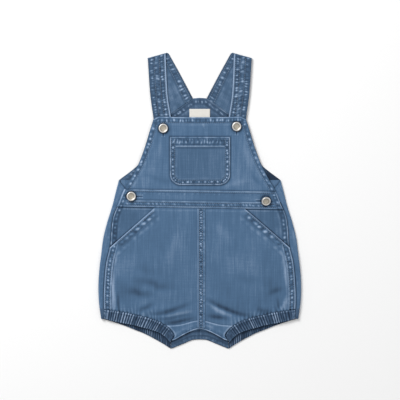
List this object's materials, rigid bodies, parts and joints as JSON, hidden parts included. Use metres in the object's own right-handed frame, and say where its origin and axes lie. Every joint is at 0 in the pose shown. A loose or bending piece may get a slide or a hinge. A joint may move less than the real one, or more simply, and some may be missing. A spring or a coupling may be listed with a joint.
{
  "type": "baby's denim dungaree romper laid flat",
  "caption": "Baby's dungaree romper in washed denim, laid flat on its back: buttoned bib with straps folded at the shoulder, waistband, slanted hip pockets, elastic leg hems.",
  "frame": {"origin": "middle of the garment's box in plan, on the surface that it lies on", "axes": "+X towards the right of the front view, +Y up the garment to the shoulders, +Z away from the surface, through the front"},
  "size_m": [0.3042, 0.4442, 0.0109],
  "materials": {
    "denim": "mid-blue washed denim, matt",
    "inside_denim": "inner face of the denim, matt",
    "strap_denim": "double denim with puckered edges, matt",
    "seam_denim": "worn denim along felled seams, matt",
    "gathered_denim": "denim gathered over elastic, matt",
    "label_ribbon": "cream woven ribbon, blank",
    "button_metal": "dull silver"
  },
  "bodies": {
    "root": {"back_bib": "inside_denim", "back_left": "denim", "back_right": "denim", "back_leg_hem_left": "gathered_denim", "back_leg_hem_right": "gathered_denim", "back_crotch": "inside_denim", "label": "label_ribbon", "strap_left": "strap_denim", "strap_right": "strap_denim", "front_bib": "denim", "bib_pocket": "denim", "waistband": "denim", "side_placket_left": "denim", "side_placket_right": "denim", "hip_yoke_left": "denim", "hip_yoke_right": "denim", "front_left": "denim", "front_right": "denim", "pocket_band_left": "seam_denim", "pocket_band_right": "seam_denim", "side_seam_left": "seam_denim", "side_seam_right": "seam_denim", "centre_front_seam": "seam_denim", "front_leg_hem_left": "gathered_denim", "front_leg_hem_right": "gathered_denim", "front_crotch": "denim", "button_bib_left": "button_metal", "button_bib_right": "button_metal", "button_side_left": "button_metal", "button_side_right": "button_metal"}
  },
  "joints": []
}
